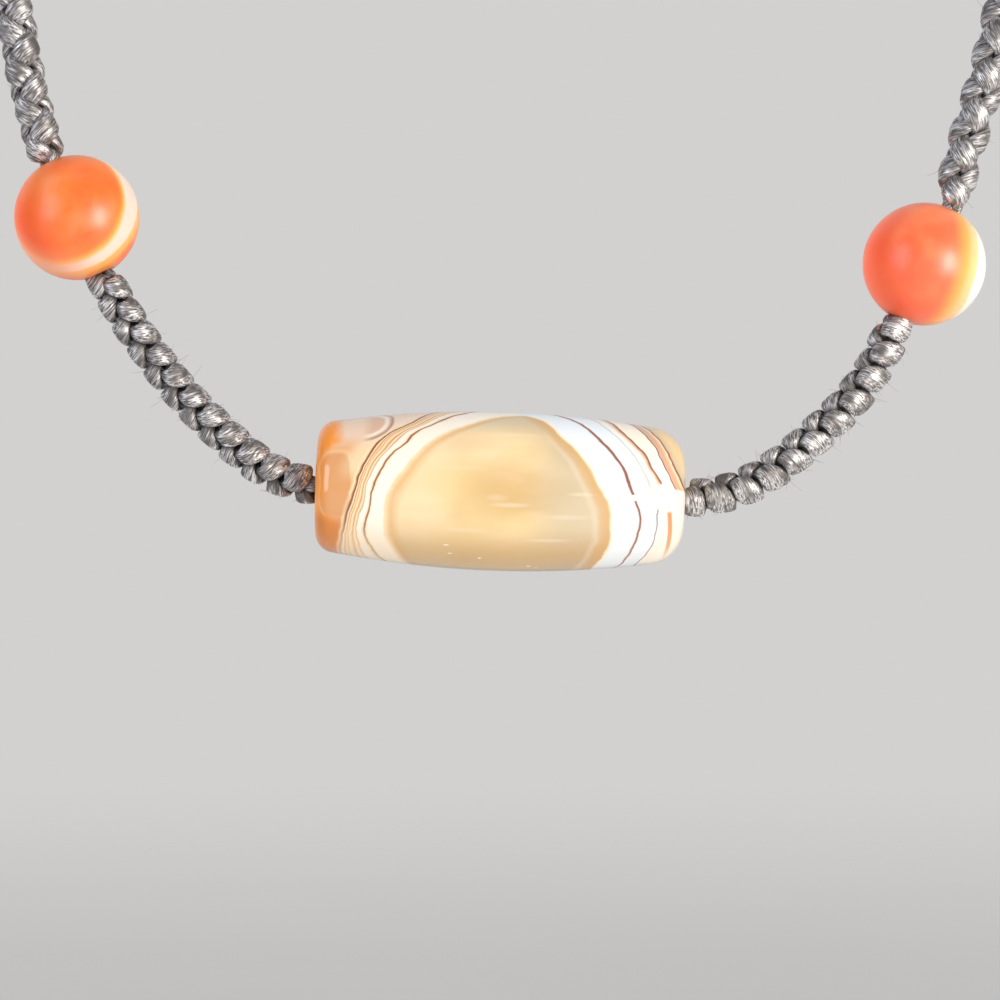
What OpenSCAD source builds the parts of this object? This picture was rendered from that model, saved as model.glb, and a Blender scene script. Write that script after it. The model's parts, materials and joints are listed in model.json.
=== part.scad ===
// Agate pendant necklace: a banded agate barrel and two round agate beads on a knotted grey cord.
// The loop hangs in the XZ plane, +Z up, seen from -Y. The origin is where the loop hangs at the
// nape of the neck: the underside of the sleeve that joins the two ends of the cord. Millimetres.

/* [Barrel] */
// Length of the agate barrel, end face to end face
barrel_len = 35.5; // [34:0.1:37]
// Diameter at the middle of the barrel
barrel_d = 15.4; // [14.5:0.1:16]
// Radius of the long curve of the barrel's side
barrel_curve_r = 100; // [85:1:130]
// Rounding of the left end's edge, the blunter one
barrel_left_round = 1.8; // [1.2:0.1:2.5]
// Rounding of the right end's edge, the softer one
barrel_right_round = 3.6; // [2.5:0.1:4]
// Drilled hole along the barrel
barrel_bore_d = 2.6; // [2.4:0.1:3]

/* [Round beads] */
// Diameter of the left round bead
left_bead_d = 12.1; // [11.6:0.1:12.6]
// Diameter of the right round bead
right_bead_d = 11.9; // [11.4:0.1:12.4]
// Drilled hole through each round bead
bead_bore_d = 2.3; // [2.2:0.1:2.6]

/* [Knotted cord] */
// Turns of the leading strand between the left bead and the barrel
left_turns = 11; // [9:1:12]
// Turns of the leading strand between the barrel and the right bead
right_turns = 10; // [8:1:11]
// Distance of each strand's coil axis from the middle of the cord
coil_a = 0.6; // [0.6:0.01:0.64]
// Radius of a coil across the cord
coil_ru = 0.65; // [0.6:0.01:0.66]
// Radius of a coil through the cord
coil_rv = 0.9; // [0.86:0.01:0.92]
// Width of a strand where it lies outside
strand_w = 1.8; // [1.5:0.05:1.85]
// Thickness of a strand where it lies outside
strand_t = 1.1; // [0.9:0.05:1.15]
// Width of a strand where it is pinched inside the knots
pinch_w = 0.85; // [0.7:0.05:0.9]
// Thickness of a strand where it is pinched inside the knots
pinch_t = 0.7; // [0.6:0.05:0.75]

/* [Braided cord] */
// Outer diameter of the four-strand braid above the beads
braid_d = 3.7; // [3.4:0.1:3.9]
// Sides of the braid's outer form
braid_sides = 10; // [8:1:12]
// Spacing of the rings along the braid's outer form
braid_ring = 7.6; // [7.4:0.1:10]

/* [Joining sleeve] */
// Length of the wrapped sleeve behind the neck
sleeve_len = 12; // [9:0.5:13]
// Outer diameter of the sleeve
sleeve_d = 5.4; // [5:0.1:6]
// Hole of the sleeve, round the ends of the braid
sleeve_bore_d = 4; // [3.96:0.01:4.2]

/* [Hidden] */

stone_honey = "#d9b88a";
bead_orange = "#f2682f";
thread_grey = "#6b6e72";

// Height of the cord's axis at the nape, and of the barrel's centre
nape_axis_z = sleeve_d / 2;
barrel_z = nape_axis_z - 234;

// Route of the cord on each side, from the nape down to the barrel: distance out from the middle
// and height above the barrel's centre, chosen by hand
left_route = [
    [0, 234], [8, 234], [24, 230], [41, 218.5], [53.5, 200.5], [60, 179.5], [62, 157], [61.5, 136],
    [59.5, 115], [56.5, 95], [53, 76], [49.6, 59], [47.2, 47.5], [46, 40.5], [45, 36.5],
    [44.1, 33.2], [41, 26.5], [37.9, 19.8], [36.3, 17], [34, 13.6], [31.2, 10], [28, 6.6],
    [25, 3.9], [22, 1.8], [19.7, 0.9], [18, 0.6], [0, 0]
];
right_route = [
    [0, 234], [8, 234], [24, 230], [41, 218.5], [53.5, 200.5], [60, 179.5], [62, 157], [62, 136],
    [60.4, 115], [57.6, 95], [54.4, 76], [51.4, 59], [48.8, 47.5], [46.8, 39.2], [45.5, 35],
    [44.5, 31.6], [43.9, 28.2], [41, 22], [38, 15.6], [36.4, 12.4], [34.2, 9.2], [31.2, 6.1],
    [28, 3.3], [25, 1.2], [22.3, 0], [20, -0.5], [18, -0.6]
];
// Places of the round beads in those lists
left_bead_row = 16;
right_bead_row = 17;
barrel_row = len(left_route) - 1;
last_row = len(left_route) + len(right_route) - 1;

// The whole loop as one list of [x, z], from the nape round the left side and back to the nape
route = concat([for (p = left_route) [-p[0], barrel_z + p[1]]],
               [for (i = [len(right_route) - 1 : -1 : 0]) [right_route[i][0], barrel_z + right_route[i][1]]]);

// Smooth curve through the route's points, eight steps to each stretch
route_steps = 8;
function route_slope(i) =
    let (lo = max(i - 1, 0), hi = min(i + 1, last_row),
         a = route[i] - route[lo], b = route[hi] - route[i], la = norm(a), lb = norm(b))
    la == 0 ? b / lb : lb == 0 ? a / la : (a / la * lb + b / lb * la) / (la + lb);
function route_bend(i, t) =
    let (d = norm(route[i + 1] - route[i]), t2 = t * t, t3 = t2 * t)
    (2 * t3 - 3 * t2 + 1) * route[i] + (t3 - 2 * t2 + t) * d * route_slope(i)
    + (3 * t2 - 2 * t3) * route[i + 1] + (t3 - t2) * d * route_slope(i + 1);
curve = [for (i = [0 : last_row - 1], k = [0 : route_steps - 1]) route_bend(i, k / route_steps),
         route[last_row]];
curve_steps = len(curve) - 1;
// Length along the curve at each of its points
along = [for (i = 0, s = 0; i <= curve_steps;
              s = s + (i < curve_steps ? norm(curve[i + 1] - curve[i]) : 0), i = i + 1) s];
loop_len = along[curve_steps];
x_table = [for (i = [0 : curve_steps]) [along[i], curve[i][0]]];
z_table = [for (i = [0 : curve_steps]) [along[i], curve[i][1]]];
function on_route(s) = [lookup(s, x_table), 0, lookup(s, z_table)];

// Directions at a place on the route: along it, across it in the loop's plane, and to the back
look_ahead = 0.6;
function unit(v) = v / norm(v);
function route_dir(s) = unit(on_route(s + look_ahead) - on_route(s - look_ahead));
function route_side(s) = let (t = route_dir(s)) [-t[2], 0, t[0]];
back = [0, 1, 0];

// Places of the stones along the route
left_bead_s = along[left_bead_row * route_steps];
barrel_s = along[barrel_row * route_steps];
right_bead_s = along[(last_row - right_bead_row) * route_steps];

// The knots: the two strands coil side by side, one to the left and one to the right, half a turn
// apart, so that each turn of one passes between two turns of the other
lobe_room = 1;
left_first = left_bead_s + left_bead_d / 2 + lobe_room;
left_last = barrel_s - barrel_len / 2 - lobe_room;
right_first = barrel_s + barrel_len / 2 + lobe_room;
right_last = right_bead_s - right_bead_d / 2 - lobe_room;
left_pitch = (left_last - left_first) / left_turns;
right_pitch = (right_last - right_first) / right_turns;
strand_end = 5.9;
thread_d = 0.8;
bore_offset = 0.56;
turn_rings = 12;
strand_sides = 8;
bore_step = 4;

// Roll of the pair of strands about the cord, in degrees: strand b lies a little to the front in
// both stretches, above strand a on the left and below it on the right
roll_table = [
    [left_bead_s + 8, -12], [left_bead_s + 22, -26], [barrel_s - 17, -52],
    [barrel_s + 17, -112], [right_bead_s - 22, -148], [right_bead_s - 8, -122]
];
// The left stretch is knotted the other way round from the right one
function knot_way(s) = s < barrel_s ? -1 : 1;

// How far the coils have opened at a place: 0 in the stones' bores, 1 in the knots
open_len = 1.2;
open_room = 0.7;
function ease(t) = let (c = min(max(t, 0), 1)) c * c * (3 - 2 * c);
function opened(s) = max(
    min(ease((s - left_first + open_room) / open_len), ease((left_last + open_room - s) / open_len)),
    min(ease((s - right_first + open_room) / open_len), ease((right_last + open_room - s) / open_len)));

// One stretch of coil as a list of [place, turn in degrees]; lead is 1 for the strand whose turns
// lie against the stones and 0.5 for the other
function coil_rows(first, last, pitch, turns, lead) =
    let (n = round((turns + 2 * lead) * turn_rings))
    [for (i = [0 : n]) [first - lead * pitch + pitch * i / turn_rings, 360 * i / turn_rings]];
// The straight stretch between two places, without its ends
function bore_rows(from, to) =
    let (n = ceil((to - from) / bore_step)) [for (i = [1 : n - 1]) [from + (to - from) * i / n, 0]];
function strand_rows(left_lead, right_lead) =
    let (start = left_bead_s - strand_end, end = right_bead_s + strand_end,
         coil_1 = coil_rows(left_first, left_last, left_pitch, left_turns, left_lead),
         coil_2 = coil_rows(right_first, right_last, right_pitch, right_turns, right_lead))
    concat([[start, 0]], bore_rows(start, coil_1[0][0]), coil_1,
           bore_rows(coil_1[len(coil_1) - 1][0], coil_2[0][0]), coil_2,
           bore_rows(coil_2[len(coil_2) - 1][0], end), [[end, 0]]);

// Across the cord at a place: a point given by u, along the pair of strands, and v, through it
function across(s, u, v) =
    let (roll = lookup(s, roll_table), side = route_side(s))
    u * (cos(roll) * side + sin(roll) * back) + v * knot_way(s) * (sin(roll) * side - cos(roll) * back);
// Middle line of a strand; hand is -1 for strand a and 1 for strand b
function strand_point(row, hand) =
    let (s = row[0], turn = row[1], open = opened(s),
         u = (1 - open) * bore_offset + open * (coil_a + coil_ru * cos(turn)),
         v = open * coil_rv * sin(turn))
    on_route(s) + across(s, hand * u, v);

// The closed surface through a list of rings that all have the same number of points; leans gives
// the way that the facets after each ring are split, 1 or -1, to go with the hand of the coil
module skin(rings, leans) {
    sides = len(rings[0]);
    last = len(rings) - 1;
    points = [for (ring = rings, point = ring) point];
    faces = concat(
        [[for (k = [0 : sides - 1]) k]],
        [for (i = [0 : last - 1], k = [0 : sides - 1], half = [0, 1])
            let (a = i * sides + k, b = i * sides + (k + 1) % sides)
            leans[i] > 0 ? (half == 0 ? [a, b + sides, b] : [a, a + sides, b + sides])
                         : (half == 0 ? [a, a + sides, b] : [b, a + sides, b + sides])],
        [[for (k = [sides - 1 : -1 : 0]) last * sides + k]]);
    polyhedron(points = points, faces = faces, convexity = 10);
}

module knot_strand(hand, rows) {
    middle = [for (row = rows) strand_point(row, hand)];
    last = len(rows) - 1;
    rings = [for (i = [0 : last])
        let (s = rows[i][0], turn = rows[i][1], open = opened(s),
             ahead = unit(middle[min(i + 1, last)] - middle[max(i - 1, 0)]),
             out = across(s, hand * cos(turn), sin(turn)),
             radial = unit(out - (out * ahead) * ahead),
             beside = cross(ahead, radial),
             outside = (1 + cos(turn)) / 2,
             w = (1 - open) * thread_d + open * (pinch_w + (strand_w - pinch_w) * outside),
             t = (1 - open) * thread_d + open * (pinch_t + (strand_t - pinch_t) * outside))
        [for (k = [0 : strand_sides - 1]) let (a = 360 * (k + 0.5) / strand_sides)
            middle[i] + radial * (t / 2 * cos(a)) + beside * (w / 2 * sin(a))]];
    color(thread_grey) skin(rings, [for (row = rows) -hand * knot_way(row[0])]);
}
module knot_strand_a() { knot_strand(-1, strand_rows(1, 0.5)); }
module knot_strand_b() { knot_strand(1, strand_rows(0.5, 1)); }

// The braid's outer form, from the middle of the nape sleeve to a round bead, a little slimmer
// where it goes into the bead
braid_gap = 0.15;
braid_neck = 1.6;
braid_neck_d = 2.8;
module braid(from, to) {
    turned = sign(to - from);
    count = ceil(abs(to - from) / braid_ring);
    neck_start = to - turned * braid_neck;
    places = concat([for (i = [0 : count]) from + (neck_start - from) * i / count], [to]);
    rings = [for (s = places)
        let (side = route_side(s), r = (s == to ? braid_neck_d : braid_d) / 2)
        [for (k = [0 : braid_sides - 1]) let (a = turned * 360 * (k + 0.5) / braid_sides)
            on_route(s) + r * (cos(a) * side - sin(a) * back)]];
    color(thread_grey) skin(rings, [for (s = places) 1]);
}
left_braid_end = left_bead_s - left_bead_d / 2 - braid_gap;
right_braid_end = right_bead_s + right_bead_d / 2 + braid_gap;
module braid_left() { braid(braid_gap, left_braid_end); }
module braid_right() { braid(loop_len - braid_gap, right_braid_end); }

// A drilled stone is turned about its own Z axis, then laid along the cord at its place
module along_cord(s) {
    t = route_dir(s);
    translate(on_route(s)) rotate([0, 90 - atan2(t[2], t[0]), 0]) children();
}

// Half outline of the barrel: the long curve of the side, cut off at both ends, and a circle that
// rounds each end's edge and meets the long curve smoothly
curve_sink = barrel_curve_r - barrel_d / 2;
function edge_height(r) = sqrt(pow(barrel_curve_r - r, 2) - pow(barrel_len / 2 - r, 2)) - curve_sink;
function edge_meets(r) = (barrel_len / 2 - r) * barrel_curve_r / (barrel_curve_r - r);
module agate_barrel() {
    color(stone_honey)
    along_cord(barrel_s)
    rotate_extrude($fn = 96)
    difference() {
        union() {
            intersection() {
                translate([-curve_sink, 0]) circle(r = barrel_curve_r, $fn = 720);
                translate([0, -edge_meets(barrel_left_round)])
                    square([barrel_d, edge_meets(barrel_left_round) + edge_meets(barrel_right_round)]);
            }
            translate([edge_height(barrel_left_round), -barrel_len / 2 + barrel_left_round])
                circle(r = barrel_left_round, $fn = 96);
            translate([edge_height(barrel_right_round), barrel_len / 2 - barrel_right_round])
                circle(r = barrel_right_round, $fn = 96);
            translate([0, -barrel_len / 2])
                square([edge_height(barrel_left_round), barrel_len / 2]);
            square([edge_height(barrel_right_round), barrel_len / 2]);
        }
        translate([-barrel_curve_r, -barrel_len])
            square([barrel_curve_r + barrel_bore_d / 2, 2 * barrel_len]);
    }
}

module round_bead(s, d) {
    color(bead_orange)
    along_cord(s)
    difference() {
        sphere(d = d, $fn = 96);
        cylinder(d = bead_bore_d, h = 2 * d, center = true, $fn = 48);
    }
}
module round_bead_left() { round_bead(left_bead_s, left_bead_d); }
module round_bead_right() { round_bead(right_bead_s, right_bead_d); }

// The sleeve behind the neck: a plain drilled sleeve with rounded ends
sleeve_round = (sleeve_d - sleeve_bore_d) / 4;
module nape_sleeve() {
    color(thread_grey)
    translate([0, 0, nape_axis_z]) rotate([0, 90, 0])
    rotate_extrude($fn = 64)
    union() {
        translate([sleeve_bore_d / 2, sleeve_round - sleeve_len / 2])
            square([(sleeve_d - sleeve_bore_d) / 2, sleeve_len - 2 * sleeve_round]);
        for (end = [-1, 1])
            translate([(sleeve_d - sleeve_round * 2) / 2, end * (sleeve_len / 2 - sleeve_round)])
                circle(r = sleeve_round, $fn = 32);
    }
}

agate_barrel();
round_bead_left();
round_bead_right();
knot_strand_a();
knot_strand_b();
braid_left();
braid_right();
nape_sleeve();
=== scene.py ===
"""Agate pendant necklace: a banded agate barrel and two round agate beads on a knotted grey satin cord.

The loop hangs in the XZ plane, +Z up and the front towards -Y, with the origin where it hangs at the nape.
"""
import json
import math

import bmesh
import bpy
import numpy as np
from bpy.props import FloatProperty, FloatVectorProperty, IntProperty, PointerProperty
from mathutils import Matrix, Vector

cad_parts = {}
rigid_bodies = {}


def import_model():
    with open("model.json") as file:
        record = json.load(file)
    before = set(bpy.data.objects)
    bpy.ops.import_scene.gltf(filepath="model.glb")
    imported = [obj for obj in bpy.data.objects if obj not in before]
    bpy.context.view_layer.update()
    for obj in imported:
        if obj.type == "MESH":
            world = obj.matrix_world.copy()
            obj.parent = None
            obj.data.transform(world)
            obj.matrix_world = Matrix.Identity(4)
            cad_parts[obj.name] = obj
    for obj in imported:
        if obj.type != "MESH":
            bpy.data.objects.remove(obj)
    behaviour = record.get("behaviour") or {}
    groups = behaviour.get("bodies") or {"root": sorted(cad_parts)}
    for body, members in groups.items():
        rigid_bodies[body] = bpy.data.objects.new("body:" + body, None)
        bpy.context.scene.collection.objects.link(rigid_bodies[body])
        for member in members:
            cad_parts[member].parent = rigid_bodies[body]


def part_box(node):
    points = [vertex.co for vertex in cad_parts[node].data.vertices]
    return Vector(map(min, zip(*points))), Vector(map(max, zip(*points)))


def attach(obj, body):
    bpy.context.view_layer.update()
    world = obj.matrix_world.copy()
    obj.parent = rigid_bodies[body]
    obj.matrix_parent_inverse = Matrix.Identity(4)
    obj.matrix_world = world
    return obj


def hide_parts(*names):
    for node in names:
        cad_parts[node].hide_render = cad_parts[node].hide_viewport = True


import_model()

bl_info = {
    "name": "Agate Pendant Necklace",
    "version": (1, 0, 0),
    "blender": (4, 5, 0),
    "location": "3D View > Sidebar > Necklace",
    "description": "Builds an agate barrel pendant necklace with its knotted and braided cord",
    "category": "Object",
}

MM = 0.001
FULL_TURN = 2 * math.pi
BODY = "root"
BACK = np.array([0.0, 1.0, 0.0])
RANDOM_SEED = 7

# Route of the cord on each side, from the nape down to the barrel: millimetres out from the middle and
# above the barrel's centre
TOP_ROUTE = [(0, 234), (8, 234), (24, 230), (41, 218.5), (53.5, 200.5), (60, 179.5), (62, 157)]
LEFT_ROUTE = TOP_ROUTE + [
    (61.5, 136), (59.5, 115), (56.5, 95), (53, 76), (49.6, 59), (47.2, 47.5), (46, 40.5), (45, 36.5),
    (44.1, 33.2), (41, 26.5), (37.9, 19.8), (36.3, 17), (34, 13.6), (31.2, 10), (28, 6.6),
    (25, 3.9), (22, 1.8), (19.7, 0.9), (18, 0.6), (0, 0),
]
RIGHT_ROUTE = TOP_ROUTE + [
    (62, 136), (60.4, 115), (57.6, 95), (54.4, 76), (51.4, 59), (48.8, 47.5), (46.8, 39.2), (45.5, 35),
    (44.5, 31.6), (43.9, 28.2), (41, 22), (38, 15.6), (36.4, 12.4), (34.2, 9.2), (31.2, 6.1),
    (28, 3.3), (25, 1.2), (22.3, 0), (20, -0.5), (18, -0.6),
]
# Points of the whole route at the middle of the left bead, of the barrel and of the right bead
STONE_ROWS = (16, 26, 36)
ROUTE_STEPS = 8
LOOK_AHEAD = 0.6 * MM

# Band edges round the barrel, from the eye outwards: (degrees, millimetres along the stone), with 0 degrees
# at the front and 90 at the top. Each closes at 180 degrees. The eye lies between the two first edges.
LEFT_EDGES = (
    [(-180, 6.2), (-168, 5), (-150, 0.5), (-120, -5.6), (-98, -7.9), (-77, -9), (-55, -10.1), (-35, -10.9),
     (-20, -11.05), (-8, -10.8), (5, -10.1), (17, -9.1), (30, -7.7), (39, -6.4), (52, -4), (60, -2.1),
     (66, -0.8), (70, 0.4), (73, 2), (82, 4.4), (100, 6.9), (125, 8.1), (155, 7.7)],
    [(-180, 1.8), (-168, 0.6), (-150, -3.9), (-120, -8.4), (-100, -10), (-80, -11), (-58, -12.1),
     (-41, -12.7), (-25, -12.7), (-9, -12.3), (8, -11.8), (24, -10.8), (35, -9.4), (48, -8.2), (54, -7.1),
     (68, -4.9), (83, -2.8), (105, 0.2), (130, 2.6), (155, 3.2)],
    [(-180, -3.6), (-168, -5), (-150, -8.8), (-120, -12.9), (-90, -15), (-59, -15.3), (-29, -14.6),
     (-13, -14.2), (8, -13.5), (26, -12.7), (39, -11.8), (60, -8.8), (71, -7.6), (90, -5.6), (120, -3.4),
     (150, -2.8)],
)
RIGHT_EDGES = (
    [(-180, -6.2), (-168, -4.9), (-150, 0.4), (-120, 6), (-98, 8.2), (-74, 9.1), (-49, 10.2), (-36, 10.6),
     (-26, 10.6), (-8, 10.2), (6, 9.4), (20, 8.35), (32, 7.2), (42, 6.1), (56, 4.6), (64, 3.9), (69, 3.1),
     (72, 2.4), (75, 1), (84, -1.6), (100, -4.2), (125, -6.2), (155, -7.2)],
    [(-180, -1.8), (-168, -1.2), (-150, 4.2), (-120, 8.6), (-84, 11.2), (-59, 12.2), (-46, 12.9),
     (-32, 13.4), (-16, 13.4), (-5, 12.9), (9, 12.2), (18, 11.8), (30, 10.9), (41, 9.9), (51, 8.9),
     (64, 7.5), (79, 5.7), (100, 3.4), (130, 0.2), (155, -1.6)],
    [(-180, 3.4), (-168, 3.9), (-150, 8.6), (-115, 12), (-72, 13.4), (-55, 14.3), (-36, 15), (-10, 15.1),
     (8, 15.3), (23, 14.4), (38, 13.5), (50, 12.4), (63, 11.3), (80, 10.1), (110, 7.4), (145, 4.2)],
    [(-180, 8), (-168, 8.4), (-150, 11.6), (-120, 13.9), (-80, 15.4), (-45, 16.3), (-15, 16.9), (-1, 17),
     (14, 16.3), (30, 15.5), (51, 14.3), (71, 12.9), (100, 11.2), (140, 8.6)],
)
EDGE_SPAN = 40.0
MEAN_RADIUS = 7.4

# Bands of the barrel: a colour, then the ring numbers that have it. The number is 0 at the eye's edge, and
# grows by one at each edge and further out by one for each spacing, in millimetres.
LEFT_SPACING, RIGHT_SPACING = -2.0, 1.15
LAST_RING = 5.0
LEFT_BANDS = (
    ("cream", 0), ("snow", 0.12, 0.88), ("cream", 0.94), ("rose", 0.98, 1.03), ("cream", 1.08),
    ("snow", 1.16, 1.34), ("tan", 1.39), ("cream", 1.44, 1.5), ("tan", 1.54), ("peach", 1.58),
    ("cream", 1.64, 1.7), ("tan", 1.73), ("cream", 1.78), ("peach", 1.83), ("tan", 1.86),
    ("cream", 1.9, 1.93), ("umber", 1.965, 2.01), ("tan", 2.05), ("cream", 2.12, 2.16), ("peach", 2.3),
)
UPPER_BANDS = (
    ("cream", 0), ("snow", 0.06), ("ice", 0.2, 0.91), ("rose", 0.96, 1.02), ("ice", 1.06, 1.58),
    ("mist", 1.62), ("ice", 1.66), ("snow", 1.82), ("fawn", 1.93), ("rose", 1.97, 2.03),
    ("snow", 2.06, 2.93), ("umber", 2.98, 3.03), ("fawn", 3.08, 3.5), ("cream", 3.85),
    ("rose", 3.95, 4.05), ("mist", 4.14), ("honey", 5),
)
LOWER_BANDS = (
    ("cream", 0), ("snow", 0.06), ("ice", 0.2, 0.91), ("rose", 0.96, 1.02), ("ice", 1.06, 1.92),
    ("lilac", 1.97, 2.01), ("snow", 2.05, 4.2), ("cream", 5),
)

# Soft streaks and tiny white pits in the eye: millimetres along the stone, degrees round it, half length,
# half width and strength. The streaks are partly silk in the stone and partly painted reflections of long
# lights.
PITS_AND_PAINTED_STREAKS = (
    (1.3, 45, 4.2, 0.4, 0.16),
    (-3.7, 16, 3.2, 0.4, 0.1),
    (0.9, -9.6, 2.9, 0.32, 0.3),
    (-0.5, -4.5, 1.6, 0.5, 0.15),
    (7.7, -0.6, 1.8, 0.28, 0.28),
    (6.4, -17.8, 3.2, 0.4, 0.2),
    (-3.5, -29.6, 2.8, 0.4, 0.15),
    (4.7, -36.9, 3.3, 0.32, 0.24),
    (-5, -44, 0.4, 0.12, 1),
    (-4.7, -53, 0.3, 0.14, 1),
    (-1.8, -57, 0.2, 0.2, 1),
    (2.9, -68, 0.3, 0.2, 1),
    (3.7, -72, 0.2, 0.2, 1),
)

# The round beads: the axis along which the stone grows redder, how much peachier its bands grow that way,
# and the axes of the two planes that bound the pale stripe. The stops are (place from -1 to 1 on the axis,
# colour, cover over the clouds): the far ones run up to the stripe, and the near ones run on from it.
BEADS = {
    "left": {
        "body": "orange",
        "deep_axis": (-0.85, -0.1, -0.5),
        "warmth": 0.85,
        "near_axis": (-0.276, -0.9, 0.336),
        "near_stops": [(-1, "blush", 1), (0.28, "blush", 1), (0.35, "gold", 0.9), (0.45, "orange", 0.5),
                       (0.65, "orange", 0)],
        "far_axis": (-0.299, -0.789, 0.537),
        "far_stops": [(-1, "orange", 0), (-0.4, "orange", 0.2), (-0.22, "gold", 0.8), (-0.14, "gold", 1),
                      (-0.08, "blush", 1)],
    },
    "right": {
        "body": "coral",
        "deep_axis": (-0.3, -0.1, -0.95),
        "warmth": 0.3,
        "near_axis": (-0.9, -0.39, 0.19),
        "near_stops": [(-1, "white", 1), (-0.54, "white", 1), (-0.47, "straw", 1), (-0.36, "straw", 0.9),
                       (-0.25, "gold", 0.9), (-0.12, "gold", 0.45), (0.02, "coral", 0.4),
                       (0.4, "coral", 0.2), (1, "red", 0.3)],
        "far_axis": (-0.913, -0.405, 0.045),
        "far_stops": [(-1, "orange", 1), (-0.94, "gold", 1), (-0.9, "white", 1)],
    },
}
BEAD_REACH = 6.0

# Lights: name, degrees from the camera's side towards +X, degrees up, distance and size in metres, colour,
# and whether it shows in reflections
LIGHTS = (
    ("Key", 45, 3, 0.55, (0.2, 0.26), "fff6ea", True),
    ("Fill", -48, 14, 0.6, (0.3, 0.42), "eef3ff", True),
    ("Back", 158, 14, 0.7, (0.4, 0.4), "f4f6ff", False),
    ("Rim", -125, 8, 0.55, (0.36, 0.36), "fff0e4", False),
)
FLOOR_SIDES = 96
FLOOR_RADIUS = 6
FLOOR_HEIGHT = -0.62

LATHE_SIDES = 192
# Power of the oval's sine and cosine: 1 is an ellipse, and less is fuller
FULLNESS = 0.85
YARN_TWIST = 2.2 / MM
YARN_RELIEF = 0.035

KNOT_RINGS = 48
KNOT_SIDES = 54
KNOT_YARNS = 12
KNOT_TAIL = 5.2 * MM
# Turn of the knots about the cord: a stone, millimetres from it along the cord, and degrees
KNOT_ROLLS = (("left_bead", 8, -12), ("left_bead", 22, -26), ("barrel", -17, -52),
              ("barrel", 17, -112), ("right_bead", -22, -148), ("right_bead", -8, -122))
LOBE_ROOM = 0.7 * MM
# How long a strand stays at the outside of its coil
LEFT_HOLD = 0.55
RIGHT_HOLD = 0.25
# How soon the strands open out beyond a stone, and how far they bulge there
OPEN_LENGTH = 1.0 * MM
OPEN_ROOM = 0.8 * MM
BULGE_WIDTH = 0.9 * MM
BULGE_THICKNESS = 0.5 * MM

BRAID_RINGS = 28
BRAID_SIDES = 28
BRAID_YARNS = 7
BRAID_TAIL = 5.4 * MM
BRAID_NECK = 2.6 * MM
NECK_RADIUS = 0.42
NECK_STRAND = 0.62
NAPE_GAP = 0.15 * MM

HAIR_RINGS = 6
HAIR_SIDES = 4
# Least distance of a fibre's root from the middle of the cord
HAIR_ROOT = 1.25 * MM
WRAP_RINGS = 40
WRAP_SIDES = 16


def shade(code):
    """The linear colour that a six-digit display colour stands for."""
    parts = [int(code[i : i + 2], 16) / 255 for i in (0, 2, 4)]
    return tuple(p / 12.92 if p <= 0.04045 else ((p + 0.055) / 1.055) ** 2.4 for p in parts)


def setting(kind, convert, **options):
    """A maker of settings of one kind, which turns each default into the script's units with convert."""
    def made(name, description, default):
        return kind(name=name, description=description, default=convert(default), **options)

    return made


mm = setting(FloatProperty, lambda length: length * MM, min=0, unit="LENGTH", precision=5)
angle = setting(FloatProperty, math.radians, unit="ROTATION")
power = setting(FloatProperty, float, min=0, unit="POWER")
turns = setting(IntProperty, int, min=8, max=12)
colour = setting(FloatVectorProperty, shade, min=0, max=1, size=3, subtype="COLOR")


class NecklaceBarrel(bpy.types.PropertyGroup):
    """Sizes and stone colours of the agate barrel."""

    length: mm("Length", "End face to end face", 35.5)
    diameter: mm("Diameter", "At the middle of the barrel", 15.4)
    curve_radius: mm("Side Curve", "Radius of the long curve of the side", 100)
    left_round: mm("Left Rounding", "Rounding of the left end's edge", 1.8)
    right_round: mm("Right Rounding", "Rounding of the right end's edge", 3.6)
    bore: mm("Bore", "Diameter of the drilled hole", 2.6)
    haze: colour("Haze", "Pale top of the left end", "ead6c4")
    honey: colour("Honey", "Body of the eye", "e4c994")
    mist: colour("Mist", "Grey part of the eye", "c5b9a2")
    # Amber is the stone's own colour in the eye's clouds, and also painted shade on the lower part of the
    # eye
    amber: colour("Amber", "Warm lower part of the eye", "c29f6b")
    ochre: colour("Ochre", "Rim of the eye", "d2a262")
    snow: colour("Snow", "Warm white band", "f3ebde")
    ice: colour("Ice", "Cool white band", "e6eef6")
    cream: colour("Cream", "Palest of the fine stripes", "f0d9b4")
    peach: colour("Peach", "Stone between the stripes and the left end", "e0aa78")
    tan: colour("Tan", "Darker fine stripes", "c98f5c")
    fawn: colour("Fawn", "Pinkish stone at both ends", "d4aa90")
    rose: colour("Rose", "Reddish brown lines", "96604c")
    lilac: colour("Lilac", "Thin grey line low on the right", "948a98")
    umber: colour("Umber", "Thin dark lines", "775645")
    orange: colour("Orange", "The left end of the barrel", "f2983c")
    rust: colour("Rust", "Low on the left end, and a short stripe on the right", "cc7a2c")


class NecklaceBead(bpy.types.PropertyGroup):
    """Bore and stone colours of the two round beads."""

    bore: mm("Bore", "Diameter of the drilled hole", 2.3)
    orange: colour("Orange", "Body of the left bead", "fb7f30")
    red: colour("Red", "Deeper red in the stone", "f8561e")
    coral: colour("Coral", "Body of the right bead", "fb7450")
    peach: colour("Peach", "Paler clouds in the stone", "fc9a68")
    gold: colour("Gold", "Yellow band", "f9b65c")
    straw: colour("Straw", "Edge of the whitest band", "f3d096")
    blush: colour("Blush", "Pale stripe", "f4d6c8")
    white: colour("White", "Whitest band", "fcf6ee")


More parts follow.
